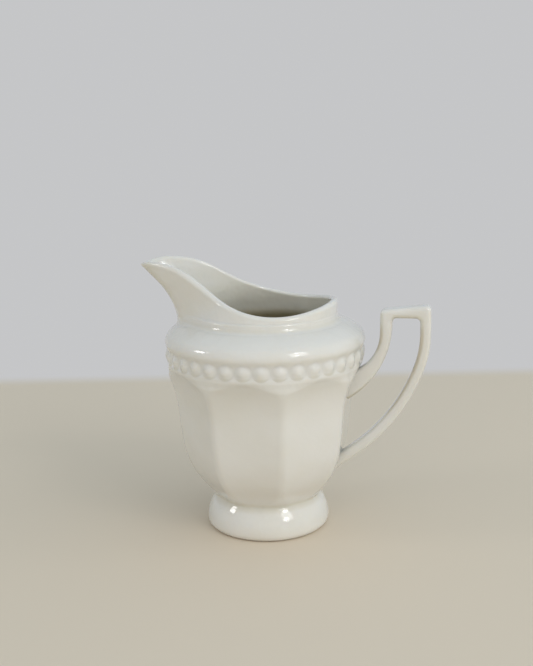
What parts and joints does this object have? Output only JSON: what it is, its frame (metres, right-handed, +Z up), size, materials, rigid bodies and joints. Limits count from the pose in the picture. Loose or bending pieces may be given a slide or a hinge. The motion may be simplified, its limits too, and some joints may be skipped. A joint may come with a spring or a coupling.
{
  "type": "cream jug",
  "caption": "Porcelain cream jug with an eight-sided bowl, domed foot, beaded shoulder, drawn-out pouring lip and angular loop handle.",
  "frame": {"origin": "on the jug's upright axis, in the plane of the ring that stands on the table", "axes": "+Z up along the bowl's axis, +X toward the handle, -X toward the spout, Y across the jug"},
  "size_m": [0.1039, 0.0722, 0.0969],
  "materials": {
    "foot_glaze": "clear gloss glaze over ivory porcelain",
    "bowl_glaze": "clear gloss glaze over ivory porcelain",
    "shoulder_glaze": "clear gloss glaze over ivory porcelain",
    "bead_border_glaze": "clear gloss glaze over ivory porcelain",
    "neck_spout_glaze": "clear gloss glaze over ivory porcelain",
    "handle_glaze": "clear gloss glaze over ivory porcelain"
  },
  "bodies": {
    "root": {"foot": "foot_glaze", "bowl": "bowl_glaze", "shoulder": "shoulder_glaze", "bead_border": "bead_border_glaze", "neck_spout": "neck_spout_glaze", "handle": "handle_glaze"}
  },
  "joints": []
}
